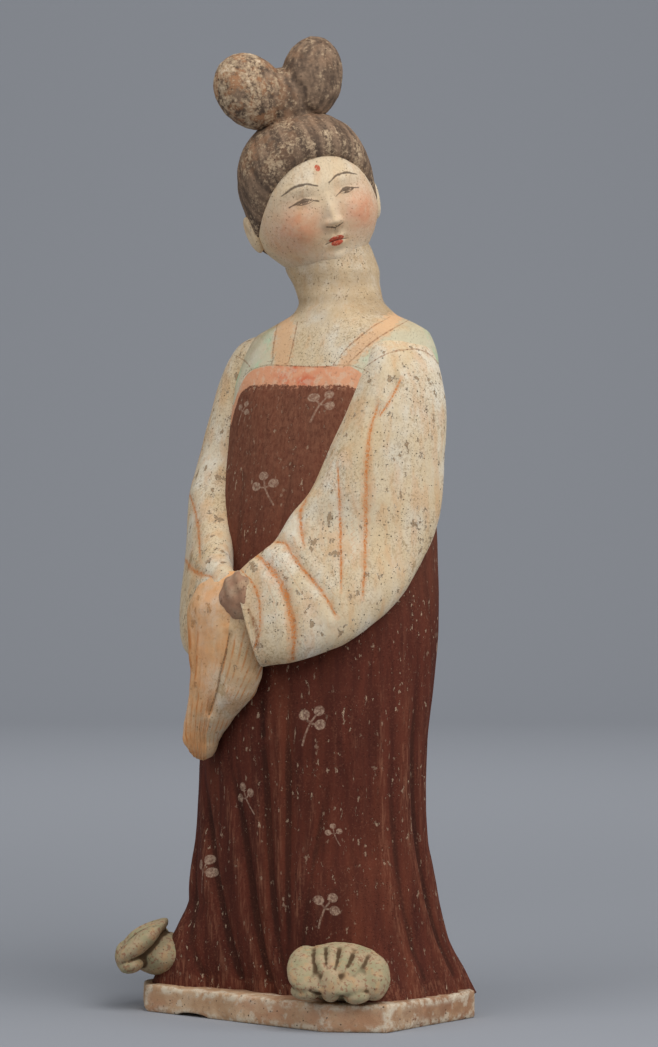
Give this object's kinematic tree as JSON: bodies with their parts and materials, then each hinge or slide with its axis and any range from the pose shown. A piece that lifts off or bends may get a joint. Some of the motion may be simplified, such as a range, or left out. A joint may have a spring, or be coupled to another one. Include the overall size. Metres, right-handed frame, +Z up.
{
  "type": "court lady figure",
  "caption": "Standing earthenware court lady with a heart-shaped bun, wide sleeves, folded hands and cloud-toe shoes on a thin clay slab.",
  "frame": {"origin": "middle of the flat underside of the slab she stands on", "axes": "+Z up through her head, -Y the way her chest faces, +X to her left"},
  "size_m": [0.1759, 0.1285, 0.5005],
  "materials": {
    "painted_earthenware": "matt fired clay with worn mineral paint"
  },
  "bodies": {
    "root": {"court_lady": "painted_earthenware"}
  },
  "joints": []
}
